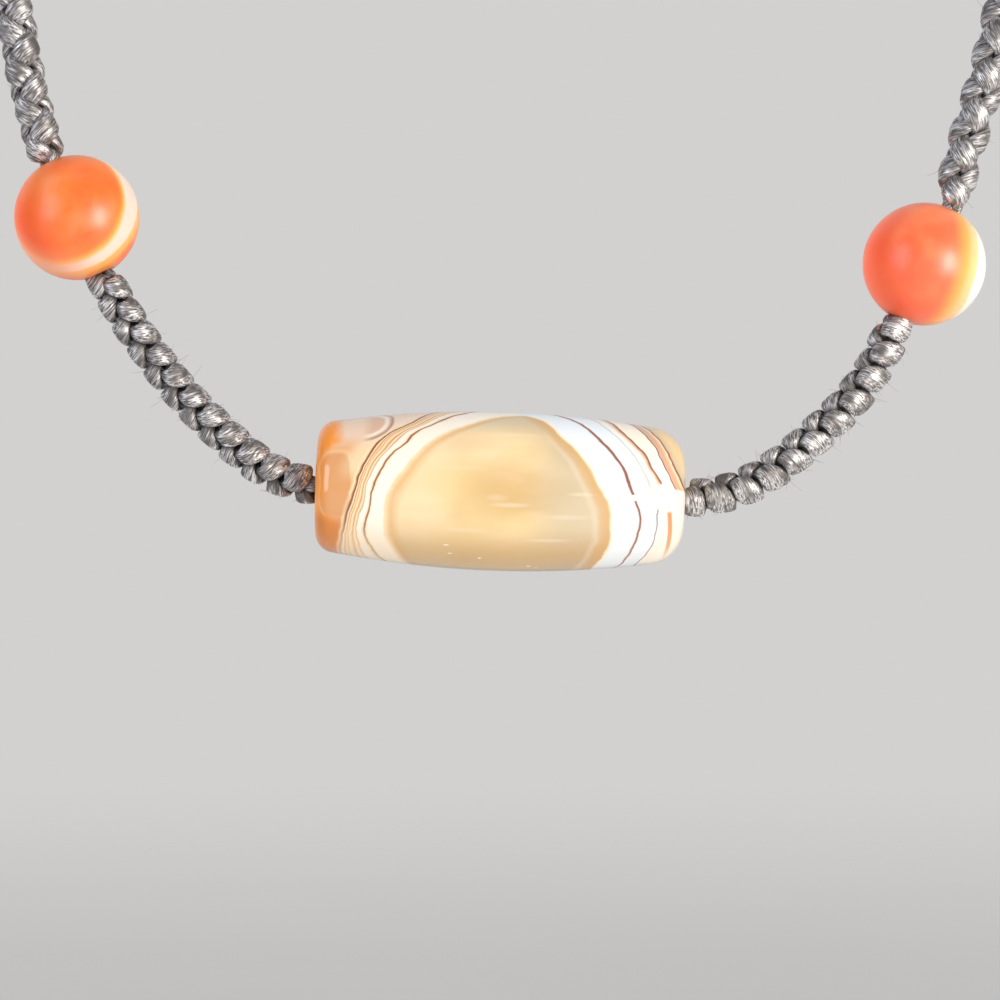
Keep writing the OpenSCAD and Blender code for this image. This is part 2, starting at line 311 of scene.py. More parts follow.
class NecklaceKnots(bpy.types.PropertyGroup):
    """Sizes of the two knotted strands."""

    left_turns: turns("Left Turns", "Turns between the left bead and the barrel", 11)
    right_turns: turns("Right Turns", "Turns between the barrel and the right bead", 10)
    coil_offset: mm("Coil Offset", "Distance of each coil's axis from the middle of the cord", 0.6)
    coil_across: mm("Coil Across", "Radius of a coil across the cord", 0.64)
    coil_through: mm("Coil Through", "Radius of a coil through the cord", 1.15)
    width: mm("Strand Width", "Width where a strand lies outside", 2.55)
    thickness: mm("Strand Thickness", "Thickness where a strand lies outside", 1.15)
    pinch_width: mm("Pinched Width", "Width inside the knots", 1.0)
    pinch_thickness: mm("Pinched Thickness", "Thickness inside the knots", 0.8)
    thread: mm("Bore Thread", "Diameter of a strand inside the stones", 0.8)
    thread_offset: mm("Bore Offset", "Distance from the middle inside the stones", 0.56)


class NecklaceBraid(bpy.types.PropertyGroup):
    """Sizes of the four-strand braid and of the wrapped sleeve at the nape."""

    diameter: mm("Diameter", "Outer diameter of the braid", 4.0)
    period: mm("Period", "Length in which a strand goes once round", 7.9)
    width: mm("Strand Width", "Width where a strand lies outside", 2.5)
    thickness: mm("Strand Thickness", "Thickness where a strand lies outside", 1.2)
    inner_width: mm("Inner Width", "Width where a strand passes under", 1.8)
    inner_thickness: mm("Inner Thickness", "Thickness where a strand passes under", 0.9)
    left_roll: angle("Left Roll", "Turn of the left braid's columns about the cord", 45)
    right_roll: angle("Right Roll", "Turn of the right braid's columns about the cord", 0)
    sleeve_length: mm("Sleeve Length", "Length of the wrapping at the nape", 12)
    sleeve_diameter: mm("Sleeve Diameter", "Outer diameter of the wrapping", 5.4)
    wrap: mm("Wrap Thread", "Diameter of the wrapped thread", 0.8)


class NecklaceThread(bpy.types.PropertyGroup):
    """Colours of the grey satin thread, with its painted highlight and painted shade."""

    # Painted highlight on fibres that catch the light
    bright: colour("Bright", "Fibres that catch the light", "f4f4f8")
    grey: colour("Grey", "Body of the thread", "726e6d")
    # Painted shade between the fibres and where the strand is tucked in
    deep: colour("Deep", "Between the fibres", "2a2625")


class NecklaceStudio(bpy.types.PropertyGroup):
    """Floor, backdrop, lights and camera."""

    backdrop: colour("Backdrop", "Even colour behind the floor", "d2d1d0")
    floor: colour("Floor", "Matt floor", "f1f0ee")
    distance: mm("Camera Distance", "From the camera to the loop", 400)
    lens: FloatProperty(name="Lens", description="Focal length in millimetres", default=148.8, min=20)
    key_power: power("Key Light", "Power of the main light", 3.4)
    fill_power: power("Fill Light", "Power of the light on the left", 1.45)
    rim_power: power("Rim Light", "Power of the light behind on the left", 2.0)
    back_power: power("Back Light", "Power of the light behind on the right", 1.6)


SETTINGS = {
    "necklace_barrel": NecklaceBarrel,
    "necklace_bead": NecklaceBead,
    "necklace_knots": NecklaceKnots,
    "necklace_braid": NecklaceBraid,
    "necklace_thread": NecklaceThread,
    "necklace_studio": NecklaceStudio,
}


def unit(v):
    return v / np.linalg.norm(v, axis=-1, keepdims=True)


def ease(t):
    """Smooth step from 0 to 1."""
    t = np.clip(t, 0, 1)
    return t * t * (3 - 2 * t)


def blend(start, end, share):
    return start + (end - start) * share


def lengths(line):
    """Distance of each point of a line from its first point, along it."""
    return np.r_[0, np.cumsum(np.linalg.norm(np.diff(line, axis=0), axis=1))]


class CordRoute:
    """Middle line of the cord: a smooth curve through the given points, measured along its length."""

    def __init__(self):
        low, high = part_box("nape_sleeve")
        points = np.array([(-x, z) for x, z in LEFT_ROUTE] + RIGHT_ROUTE[::-1], float) * MM
        points[:, 1] += (low.z + high.z) / 2 - LEFT_ROUTE[0][1] * MM
        slopes = np.gradient(points, lengths(points), axis=0)
        t = np.arange(ROUTE_STEPS)[None, :, None] / ROUTE_STEPS
        p, q, m, n = points[:-1, None], points[1:, None], slopes[:-1, None], slopes[1:, None]
        d = np.diff(lengths(points))[:, None, None]
        bends = ((2 * t**3 - 3 * t**2 + 1) * p + (t**3 - 2 * t**2 + t) * d * m
                 + (3 * t**2 - 2 * t**3) * q + (t**3 - t**2) * d * n)
        self.curve = np.vstack([bends.reshape(-1, 2), points[-1:]])
        self.along = lengths(self.curve)
        self.left_bead, self.barrel, self.right_bead = [self.along[row * ROUTE_STEPS] for row in STONE_ROWS]

    def at(self, s):
        x, z = [np.interp(s, self.along, column) for column in self.curve.T]
        return np.stack([x, np.zeros_like(x), z], -1)

    def ahead(self, s):
        return unit(self.at(s + LOOK_AHEAD) - self.at(s - LOOK_AHEAD))

    def side(self, s):
        x, y, z = np.moveaxis(self.ahead(s), -1, 0)
        return np.stack([-z, y, x], -1)

    def seat(self, s):
        """Placement of a drilled stone: its own X axis along the cord and its front towards -Y."""
        columns = np.stack([self.ahead(s), BACK, self.side(s), self.at(s)], 1)
        return Matrix([*columns.tolist(), [0, 0, 0, 1]])


ROUTE = CordRoute()


def sign(operation, turned=False):
    """A method of Value that adds the maths node of a sign; turned puts the other side first."""
    def reckon(self, *other):
        return self.shader.maths(operation, *((*other, self) if turned else (self, *other)))

    return reckon


class Value:
    """A number, vector or colour in a shader tree, which the usual signs work with."""

    __add__ = sign("ADD")
    __sub__ = sign("SUBTRACT")
    __rsub__ = sign("SUBTRACT", turned=True)
    __mul__ = sign("MULTIPLY")
    __truediv__ = sign("DIVIDE")
    __rtruediv__ = sign("DIVIDE", turned=True)
    __pow__ = sign("POWER")
    __abs__ = sign("ABSOLUTE")

    def __init__(self, shader, socket):
        self.shader = shader
        self.socket = socket

    def between(self, low, high):
        """0 at low and 1 at high, smooth; low may be the larger."""
        return self.shader.value("ShaderNodeMapRange", {"Value": self, "From Min": low, "From Max": high},
                                 "Result", interpolation_type="SMOOTHSTEP")

    def share(self, low, high):
        """How far it has come from low to high, from 0 to 1."""
        return self.shader.maths("DIVIDE", self - low, high - low, clamp=True)

    def scaled(self, factors):
        return self.shader.vector("MULTIPLY", self, factors)

    def parts(self):
        return [Value(self.shader, socket)
                for socket in self.shader.add("ShaderNodeSeparateXYZ", {0: self}).outputs]

    def painted(self, paint, cover):
        """This colour with paint over it; cover is from 0 to 1."""
        return self.shader.mix(cover, self, paint)

    def ramp(self, stops):
        """Colours or greys at places from 0 to 1."""
        node = self.shader.add("ShaderNodeValToRGB", {0: self})
        elements = node.color_ramp.elements
        while len(elements) < len(stops):
            elements.new(1)
        for element, (place, paint) in zip(elements, stops):
            element.position = place
            element.color = (*paint, 1) if hasattr(paint, "__len__") else (paint, paint, paint, 1)
        return Value(self.shader, node.outputs[0])

    def curve(self, points):
        """A smooth curve through points, both axes from 0 to 1."""
        node = self.shader.add("ShaderNodeFloatCurve", {"Value": self})
        line = node.mapping.curves[0]
        while len(line.points) < len(points):
            line.points.new(0.5, 0.5)
        for point, place in zip(line.points, points):
            point.location = place
        node.mapping.update()
        return Value(self.shader, node.outputs[0])


class Shader:
    """Adds nodes to a shader tree and links them."""

    def __init__(self, tree):
        self.tree = tree

    def add(self, kind, inputs=None, **settings):
        row, column = divmod(len(self.tree.nodes), 12)
        node = self.tree.nodes.new(kind)
        node.location = (200 * column, -260 * row)
        for name, value in settings.items():
            setattr(node, name, value)
        self.fill(node.inputs, inputs or {})
        return node

    def value(self, kind, inputs=None, output=0, **settings):
        return Value(self, self.add(kind, inputs, **settings).outputs[output])

    def fill(self, sockets, values):
        """Link or set sockets, given by name or number."""
        for key, value in values.items():
            socket = sockets[key]
            if isinstance(value, Value):
                self.tree.links.new(value.socket, socket)
            elif isinstance(value, (int, float)) or len(value) == len(socket.default_value):
                socket.default_value = value
            else:
                socket.default_value = (*value, 1)

    def maths(self, operation, *values, clamp=False):
        return self.value("ShaderNodeMath", dict(enumerate(values)), operation=operation, use_clamp=clamp)

    def vector(self, operation, *values):
        output = "Value" if operation in ("DOT_PRODUCT", "LENGTH", "DISTANCE") else "Vector"
        return self.value("ShaderNodeVectorMath", dict(enumerate(values)), output, operation=operation)

    def combined(self, x, y, z=0):
        return self.value("ShaderNodeCombineXYZ", {0: x, 1: y, 2: z})

    def mix(self, factor, a, b):
        return self.value("ShaderNodeMix", {0: factor, 6: a, 7: b}, 2, data_type="RGBA")

    def noise(self, vector, scale, detail=2.0, roughness=0.5):
        inputs = {"Vector": vector, "Scale": scale, "Detail": detail, "Roughness": roughness}
        return self.value("ShaderNodeTexNoise", inputs, "Fac")

    def wobble(self, vector, scale, reach):
        """Noise that runs from -reach to reach."""
        return (self.noise(vector, scale) - 0.5) * (2 * reach)

    def bump(self, height, strength, distance):
        inputs = {"Strength": strength, "Distance": distance, "Height": height}
        return self.value("ShaderNodeBump", inputs)

    def coordinates(self, output="Object"):
        return self.value("ShaderNodeTexCoord", None, output)

    def place(self):
        """Place in the object's own millimetres."""
        return self.coordinates().scaled((1 / MM, 1 / MM, 1 / MM))

    def group(self, name, build, *inputs):
        """Outputs by name of a shared node group, which build makes when it is first asked for."""
        tree = bpy.data.node_groups.get(name) or build(name)
        node = self.add("ShaderNodeGroup", node_tree=tree)
        self.fill(node.inputs, dict(enumerate(inputs)))
        return {socket.name: Value(self, socket) for socket in node.outputs}


def new_material(name, **constants):
    """A material, its shader and the sockets of its Principled BSDF, with plain values set on them."""
    material = bpy.data.materials.new(name)
    material.use_nodes = True
    shader = Shader(material.node_tree)
    surface = material.node_tree.nodes["Principled BSDF"].inputs
    shader.fill(surface, {socket.replace("_", " "): value for socket, value in constants.items()})
    return material, shader, surface


def new_group(name, **inputs):
    """A node group that gives a colour, a roughness and a height; inputs are labels by kind."""
    tree = bpy.data.node_groups.new(name, "ShaderNodeTree")
    outputs = {"Color": ["Color"], "Float": ["Roughness", "Height"]}
    for direction, sockets in (("INPUT", inputs), ("OUTPUT", outputs)):
        for kind, labels in sockets.items():
            for label in labels:
                tree.interface.new_socket(label, in_out=direction, socket_type="NodeSocket" + kind)
    shader = Shader(tree)
    given = [Value(shader, socket) for socket in shader.add("NodeGroupInput").outputs[:-1]]
    return tree, shader, given, shader.add("NodeGroupOutput").inputs


def satin_fibres(name):
    """Fine parallel fibres of satin thread, laid along the strand with a slow twist, with painted shade
    between the fibres and where the strand is tucked in.
    """
    tree, shader, given, made = new_group(
        name, Color=["Bright", "Grey", "Deep"], Float=["Fibre Width", "Fibre Length", "Twist", "Shelter"])
    bright, grey, deep, fibre_width, fibre_length, twist, shelter = given
    place = shader.value("ShaderNodeAttribute", None, "Vector", attribute_name="strand_place")
    turn = place.parts()[2] * twist
    laid = shader.value("ShaderNodeVectorRotate", {"Vector": place, "Angle": turn}, rotation_type="Z_AXIS")
    across = 1 / fibre_width
    fibres = laid.scaled(shader.combined(across, across, 1 / fibre_length))
    lift = shader.noise(fibres, 1.0, 2.0, 0.65) * 0.75 + shader.noise(fibres, 0.35, 1.0) * 0.25
    patches = shader.noise(place, 0.9, 1.0)
    tucked = shader.value("ShaderNodeAttribute", None, "Fac", attribute_name="strand_tuck")
    # Painted highlight: bright fibres in patches, fading where the strand is tucked in; these fibres are
    # also less rough
    painted_glint = lift.between(0.42, 0.62) * patches.between(0.25, 0.6) * tucked.between(0.9, 0.5)
    # Painted shade: the darkest colour fills the low parts between fibres, and more of it where the strand
    # is tucked in
    body = deep.painted(grey, lift.between(0.14, 0.52)).painted(deep, tucked.between(0.4, 0.9) * shelter)
    paint = body.painted(bright, painted_glint)
    shader.fill(made, {"Color": paint, "Roughness": 0.6 - painted_glint * 0.15, "Height": lift})
    return tree


def stone_clouds(name):
    """Soft clouds and a fine mottle inside a translucent stone, from a place in millimetres."""
    tree, shader, given, made = new_group(
        name, Vector=["Place"], Color=["Base", "Cloud", "Depth"], Float=["Size"])
    place, base, cloud, depth, size = given
    near = shader.vector("ADD", place, (31, -17, 23))
    scale = 1 / size
    mottle = shader.noise(place, scale * 9, 3.0, 0.6)
    paint = base.painted(cloud, shader.noise(place, scale, 3.0, 0.45).between(0.42, 0.7))
    paint = paint.painted(depth, shader.noise(near, scale, 2.0, 0.4).between(0.45, 0.75))
    paint = paint.painted(cloud, mottle.between(0.35, 0.75) * 0.12)
    shader.fill(made, {"Color": paint, "Roughness": mottle * 0.1, "Height": mottle})
    return tree


def thread_material(name, fibre_width, fibre_length, twist, shelter=0.0):
    """Grey satin thread with its own fibre size and twist; its last argument sets how much shade is painted
    where it is tucked in.
    """
    thread = bpy.context.scene.necklace_thread
    material, shader, surface = new_material(
        name, Specular_IOR_Level=0.8, Sheen_Weight=0.12, Sheen_Roughness=0.35, Metallic=0.7)
    fibres = shader.group("Satin Fibres", satin_fibres, thread.bright, thread.grey, thread.deep,
                          fibre_width, fibre_length, twist, shelter)
    shader.fill(surface, {"Base Color": fibres["Color"], "Roughness": fibres["Roughness"],
                          "Normal": shader.bump(fibres["Height"], 1.0, 0.04 * MM)})
    return material


def finish_stone(shader, surface, paint, clouds, roughness, relief):
    shader.fill(surface, {"Base Color": paint, "Roughness": clouds["Roughness"] + roughness,
                          "Normal": shader.bump(clouds["Height"], relief, 0.02 * MM)})


def ring_number(shader, turn, wavy, outlines, spacing):
    """The first edge, and the ring number outside it."""
    edges = []
    for outline in outlines:
        closed = [*outline, (180, outline[0][1])]
        points = [(degree / 360 + 0.5, along / EDGE_SPAN + 0.5) for degree, along in closed]
        edges.append((turn.curve(points) - 0.5) * EDGE_SPAN)
    ring = wavy.share(*edges[:2])
    for pair in zip(edges[1:], edges[2:]):
        ring = ring + wavy.share(*pair)
    return edges[0], ring + shader.maths("MAXIMUM", (wavy - edges[-1]) / spacing, 0)


def band_colours(ring, stone, bands):
    stops = [(number / LAST_RING, getattr(stone, paint)) for paint, *numbers in bands for number in numbers]
    return (ring / LAST_RING).ramp(stops)


def barrel_material():
    """The polished banded agate of the barrel, from the stone's own coordinates."""
    stone = bpy.context.scene.necklace_barrel
    material, shader, surface = new_material(
        "Banded Barrel Agate", IOR=1.54, Specular_IOR_Level=0.5, Coat_Weight=0.35, Coat_Roughness=0.05,
        Subsurface_Weight=0.3, Subsurface_Radius=(1.0, 0.72, 0.45), Subsurface_Scale=1.6 * MM)
    place = shader.place()
    x, y, z = place.parts()
    around = shader.maths("ARCTAN2", z, y * -1)
    turn = around / FULL_TURN + 0.5
    degrees = around * (180 / math.pi)
    facing = abs(degrees).between(168, 110)
    wavy = x + (shader.wobble(place, 0.3, 0.4) + shader.wobble(place, 1.3, 0.09))
    flat = shader.combined(wavy, around * MEAN_RADIUS)
    eye_left, left = ring_number(shader, turn, wavy, LEFT_EDGES, LEFT_SPACING)
    eye_right, right = ring_number(shader, turn, wavy, RIGHT_EDGES, RIGHT_SPACING)
    left_bands = band_colours(left, stone, LEFT_BANDS)
    upper_bands = band_colours(right, stone, UPPER_BANDS)
    lower_bands = band_colours(right, stone, LOWER_BANDS)

    # A short rust stripe stands nearly upright below the flaw
    bow = abs((degrees + 35) / 53) ** 2
    stripe = abs(x + bow - 16.3).between(0.32, 0.12) * degrees.between(-12, -16) * degrees.between(-80, -48)
    lower_bands = lower_bands.painted(stone.rust, stripe * 0.85)
    right_bands = lower_bands.painted(upper_bands, facing * degrees.between(-4, 1))
    # A pale flaw crosses the brown lines at the front
    flaw_reach = right.between(1.15, 1.5) * 7 + 2.5
    right_bands = right_bands.painted(stone.snow, (abs(degrees + 2) / flaw_reach).between(1.1, 0.75))
    # The lower front, where shade is painted on the bands and on the eye
    low = facing * degrees.between(-20, -55)
    beyond_lines = left.between(2.05, 2.25)
    pale = degrees.between(0, 18) * left.between(3.4, 2.5) * facing * beyond_lines
    loop = shader.vector("DISTANCE", flat, (-13.6, 8.4, 0)) / 6
    loop_side = beyond_lines * x.between(-13.6, -12.2)
    # A painted reflection: a rounded oblong near the left end, at the front
    painted_reflection = abs((degrees - 2) / 28) ** 4 + abs((wavy + 15.75) / 1.45) ** 4
    end_place = x + shader.wobble(place, 0.6, 0.5) - abs(degrees - 4).between(24, 40) * 1.3
    left_or_top = shader.maths("MAXIMUM", x.between(-16.4, -17), degrees.between(16, 26))
    bands = left_bands.painted(right_bands, (right - left).between(-0.12, 0.12))
    for paint, cover in (
        # Painted shade: the whites on the lower front are dimmed towards cream, more on the left
        (stone.cream, low * (x.between(4, -4) * 0.4 + 0.1)),
        # The left end: peach stone with a pale top and a pinkish loop that has a light rim
        (stone.cream, pale * 0.8),
        (stone.haze, facing * degrees.between(30, 50) * beyond_lines * 0.8),
        (stone.fawn, loop.ramp([(0, 0.7), (0.36, 0.7), (0.42, 0)]) * loop_side),
        (stone.snow, loop.ramp([(0.38, 0), (0.43, 0.8), (0.48, 0)]) * loop_side),
        (stone.rose, loop.ramp([(0.46, 0), (0.52, 0.8), (0.56, 0)]) * loop_side),
        # A darker oblong, the strong orange edge, rust below, and a pale edge on the oblong's left and top;
        # the oblong and its pale edge are a painted reflection
        (stone.tan, painted_reflection.between(1.3, 0.6) * 0.45),
        (stone.orange, end_place.between(-16.2, -17.5)),
        (stone.rust, facing * (degrees.between(-18, -38) * beyond_lines) * 0.85),
        (stone.cream, (painted_reflection / 3).ramp([(0.25, 0), (0.4, 0.3), (0.6, 0)]) * left_or_top),
    ):
        bands = bands.painted(paint, cover)

    # The eye: a honey body with clouds, a pale left, a greyer right, painted shade low down, and an ochre
    # rim with a thin pale arc
    in_left = wavy - eye_left
    in_right = eye_right - wavy
    depth = shader.maths("MINIMUM", in_left, in_right) / 4
    clouds = shader.group("Stone Clouds", stone_clouds, place.scaled((0.45, 1, 1)), stone.honey,
                          stone.cream, stone.amber, 3.2)
    golden = shader.vector("LENGTH", flat.scaled((0.22, 0.3, 0)))
    eye = shader.mix(0.5, stone.honey, clouds["Color"])
    for paint, cover in (
        (stone.cream, x.between(-3, -8) * 0.6),
        (stone.cream, facing * (degrees.between(8, 28) * x.between(3, -2)) * 0.5),
        (stone.amber, golden.between(1.2, 0.2) * 0.5),
        (stone.mist, x.between(1, 7) * 0.75),
        (stone.mist, facing * degrees.between(40, 60) * 0.7),
        # Painted shade: amber darkens the lower part of the eye
        (stone.amber, low * 0.75),
        (stone.ochre, depth.ramp([(0, 0.5), (0.1, 0.65), (0.2, 0.5), (0.42, 0)])),
        (stone.snow, depth.ramp([(0.24, 0), (0.37, 0.22), (0.5, 0)]) * x.between(3, 6)),
    ):
        eye = eye.painted(paint, cover)
    # Soft streaks, partly painted reflections of long lights, and tiny white pits
    for along, degree, half_length, half_width, strength in PITS_AND_PAINTED_STREAKS:
        size = (1 / half_length, 1 / half_width, 0)
        start = (-along / half_length, -math.radians(degree) * MEAN_RADIUS / half_width, 0)
        streak = shader.vector("LENGTH", shader.vector("MULTIPLY_ADD", flat, size, start)).between(1, 0.1)
        eye = eye.painted(stone.snow, streak * strength)
    inside = in_left.between(-0.25, 0.8) * in_right.between(-0.1, 0.16)
    finish_stone(shader, surface, bands.painted(eye, inside), clouds, 0.1, 0.12)
    return material


def bead_material(name, look, to_stone):
    """Satin orange agate with one pale stripe; to_stone turns the look's axes into the stone's own."""
    stone = bpy.context.scene.necklace_bead
    material, shader, surface = new_material(
        name, IOR=1.54, Specular_IOR_Level=0.25, Coat_Weight=0.75, Coat_Roughness=0.36,
        Subsurface_Weight=0.75, Subsurface_Radius=(1.0, 0.4, 0.16), Subsurface_Scale=2.0 * MM)
    place = shader.place()

    def level(axis):
        """Place along an axis, -1 and 1 at the bead's surface."""
        return shader.vector("DOT_PRODUCT", place, tuple(to_stone @ Vector(look[axis]))) / BEAD_REACH

    clouds = shader.group("Stone Clouds", stone_clouds, place, getattr(stone, look["body"]),
                          stone.peach, stone.red, BEAD_REACH)
    toward_red = level("deep_axis")
    inner = clouds["Color"].painted(stone.red, toward_red.between(0.1, 1.1))
    warm = toward_red.between(0, 0.9) * look["warmth"]
    waves = shader.wobble(place, 0.22, 0.05)
    sides = []
    for side in ("near", "far"):
        wavy = level(side + "_axis") + waves
        stops = look[side + "_stops"]
        spread = wavy * 0.5 + 0.5
        bands = spread.ramp([(at * 0.5 + 0.5, getattr(stone, paint)) for at, paint, _ in stops])
        cover = spread.ramp([(at * 0.5 + 0.5, amount) for at, _, amount in stops])
        sides.append(inner.painted(bands.painted(stone.peach, warm), cover))
    stripe_end = stops[-1][0]
    paint = sides[1].painted(sides[0], wavy.between(stripe_end - 0.03, stripe_end + 0.03))
    finish_stone(shader, surface, paint, clouds, 0.34, 0.2)
    return material


def floor_material():
    """Matt painted board with a faint mottle, which fades into the backdrop far from the necklace, with
    shade painted darker near the middle.
    """
    pale = bpy.context.scene.necklace_studio.floor
    material, shader, surface = new_material("Matt Floor", Specular_IOR_Level=0.2)
    own = shader.coordinates()
    mottle = shader.noise(own, 3.0, 3.0)
    away = shader.vector("LENGTH", own)
    # Painted shade: darker near the necklace, where the lamps light the floor most
    near = tuple(c * 0.7 for c in pale)
    far = shader.mix(mottle, pale, tuple(min(1.0, c * 1.06) for c in pale))
    shader.fill(surface, {"Base Color": shader.mix(away.between(0.2, 1.8), near, far),
                          "Roughness": mottle * 0.1 + 0.8, "Alpha": away.between(5.5, 2)})
    return material


def linked(name, data):
    """An object that stands in the scene."""
    thing = bpy.data.objects.new(name, data)
    bpy.context.scene.collection.objects.link(thing)
    return thing


def mesh_object(name, points, faces, material, strand_place=None, tuck=None):
    """A smooth mesh object from point and face lists."""
    mesh = bpy.data.meshes.new(name)
    mesh.from_pydata(points.tolist(), [], faces)
    mesh.polygons.foreach_set("use_smooth", [True] * len(mesh.polygons))
    for label, kind, field, values in (("strand_place", "FLOAT_VECTOR", "vector", strand_place),
                                       ("strand_tuck", "FLOAT", "value", tuck)):
        if values is not None:
            mesh.attributes.new(label, kind, "POINT").data.foreach_set(field, values.ravel())
    mesh.materials.append(material)
    mesh.update()
    return linked(name, mesh)


def finish_piece(piece, slot, *nodes):
    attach(piece, BODY)
    if nodes:
        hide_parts(*nodes)


def tube_faces(rings, sides, first=0):
    """Faces of a closed tube of rings that all have the same number of points."""
    points = first + np.arange(rings * sides).reshape(rings, sides)
    beside = np.roll(points, -1, 1)
    quads = np.stack([points[:-1], beside[:-1], beside[1:], points[1:]], -1)
    return [*quads.reshape(-1, 4).tolist(), points[0, ::-1].tolist(), points[-1].tolist()]


def strand_rings(middle, outward, width, thickness, sides, start=0.0, yarns=0):
    """Points of the full oval rings round a strand's middle line, and their places in the straight strand.

    Twisted yarns stand out on the surface by a share of the strand's size.
    """
    ahead = unit(np.gradient(middle, axis=0))
    outward = unit(outward - (outward * ahead).sum(1, keepdims=True) * ahead)
    beside = np.cross(ahead, outward)
    along = start + lengths(middle)[:, None]
    turn = FULL_TURN * (np.arange(sides) + 0.5) / sides
    relief = YARN_RELIEF if yarns else 0.0
    yarn = 1 + relief * (np.abs(np.cos((yarns * turn + YARN_TWIST * along) / 2)) - 0.6)

    def oval(size, wave):
        return size[:, None] / 2 * np.sign(wave) * np.abs(wave) ** FULLNESS * yarn

    across = oval(width, np.sin(turn))
    through = oval(thickness, np.cos(turn))
    points = middle[:, None] + beside[:, None] * across[..., None] + outward[:, None] * through[..., None]
    return points.reshape(-1, 3), np.stack([across, through, along + 0 * across], -1).reshape(-1, 3) / MM


def add_strand(name, slot, node, material, sides, path, tuck=None, start=0.0, yarns=0):
    """A swept piece; path is its middle line, outward directions, widths and thicknesses."""
    points, places = strand_rings(*path, sides, start, yarns)
    tucks = None if tuck is None else np.repeat(tuck, sides)
    faces = tube_faces(len(path[0]), sides)
    finish_piece(mesh_object(name, points, faces, material, places, tucks), slot, node)


def bend(a, corner, b, steps=6):
    """Points of a small round from a to b that leans into corner."""
    t = np.linspace(0, 1, steps)[:, None]
    return (1 - t) ** 2 * np.array(a) + 2 * t * (1 - t) * np.array(corner) + t**2 * np.array(b)


def arc(centre, radius, start, end, steps):
    """Points of an arc; angles are from the upright, positive towards +X."""
    turn = np.linspace(start, end, steps)[:, None]
    return np.array(centre) + radius * np.hstack([np.sin(turn), np.cos(turn)])


def turned_stone(name, place, material, skin, half, bore, soft, steps):
    """A drilled stone turned about its own X axis; skin is (along, radius) points from end to end."""
    outline = np.vstack([
        bend((-half + soft, bore), (-half, bore), skin[0])[:-1],
        skin,
        bend(skin[-1], (half, bore), (half - soft, bore))[1:],
        np.linspace((half - 2 * soft, bore), (-half + 2 * soft, bore), steps),
    ])
    turn = FULL_TURN * np.arange(LATHE_SIDES) / LATHE_SIDES
    along, radius = outline[:, 0, None], outline[:, 1, None]
    points = np.stack([along + 0 * turn, -radius * np.cos(turn), radius * np.sin(turn)], -1)
    here = np.arange(points.size // 3).reshape(-1, LATHE_SIDES)
    after = np.roll(here, -1, 0)
    quads = np.stack([here, after, np.roll(after, -1, 1), np.roll(here, -1, 1)], -1)
    piece = mesh_object(name, points.reshape(-1, 3), quads.reshape(-1, 4).tolist(), material)
    shape = bmesh.new()
    shape.from_mesh(piece.data)
    bmesh.ops.recalc_face_normals(shape, faces=shape.faces)
    shape.to_mesh(piece.data)
    shape.free()
    piece.matrix_world = place
    return piece


def bead_radius(side):
    low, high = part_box("round_bead_" + side)
    return (high.y - low.y) / 2


class NECKLACE_OT_studio(bpy.types.Operator):
    """Set the camera, the soft lights and the pale floor."""

    bl_idname = "necklace.studio"
    bl_label = "Studio"

    def execute(self, context):
        studio = context.scene.necklace_studio
        centre = Vector(ROUTE.at(ROUTE.barrel))
        lens = bpy.data.cameras.new("Camera")
        lens.lens = studio.lens
        lens.sensor_width = 36
        lens.clip_start = 0.01
        lens.clip_end = 20
        camera = linked("Camera", lens)
        # The barrel's centre is half a pixel right of the middle and 8.5 pixels above it
        pixel = studio.distance * lens.sensor_width / lens.lens / 1000
        camera.location = centre + Vector((-0.5 * pixel, -studio.distance, -8.5 * pixel))
        camera.rotation_euler = (math.pi / 2, 0, 0)
        context.scene.camera = camera
        context.scene.view_settings.view_transform = "Standard"
        turn = FULL_TURN * np.arange(FLOOR_SIDES) / FLOOR_SIDES
        rim = [FLOOR_RADIUS * np.cos(turn), FLOOR_RADIUS * np.sin(turn), 0 * turn + FLOOR_HEIGHT]
        mesh_object("studio_floor", np.stack(rim, 1), [list(range(FLOOR_SIDES))], floor_material())
        self.add_surroundings(context)
        for light in LIGHTS:
            self.add_light(studio, centre, *light)
        return {"FINISHED"}

    def add_surroundings(self, context):
        """An even backdrop for the camera, a soft sky for the light and a dim room in the reflections."""
        world = bpy.data.worlds.new("Soft Surroundings")
        world.use_nodes = True
        shader = Shader(world.node_tree)
        _, back, up = shader.coordinates("Generated").parts()
        upward = up * 0.5 + 0.5
        sky = upward.ramp([(0, 0.3), (0.5, 0.26), (1, 0.72)])
        room = upward.ramp([(0, 0.06), (0.5, 0.08), (1, 0.16)])
        room = room.painted((0.56, 0.56, 0.58), back.between(0, 0.9))
        path = shader.add("ShaderNodeLightPath").outputs
        light = sky.painted(room, Value(shader, path["Is Glossy Ray"]))
        seen = light.painted(context.scene.necklace_studio.backdrop, Value(shader, path["Is Camera Ray"]))
        shader.fill(world.node_tree.nodes["Background"].inputs, {"Color": seen})
        context.scene.world = world

    def add_light(self, studio, target, name, azimuth, elevation, distance, size, code, reflected):
        lamp = bpy.data.lights.new(name + " Light", "AREA")
        lamp.shape = "RECTANGLE"
        lamp.size, lamp.size_y = size
        lamp.energy = getattr(studio, name.lower() + "_power")
        lamp.color = shade(code)
        a, e = math.radians(azimuth), math.radians(elevation)
        away = Vector((math.sin(a) * math.cos(e), -math.cos(a) * math.cos(e), math.sin(e)))
        light = linked(name + " Light", lamp)
        light.location = target + away * distance
        light.rotation_euler = (-away).to_track_quat("-Z", "Y").to_euler()
        light.visible_camera = False
        light.visible_glossy = reflected


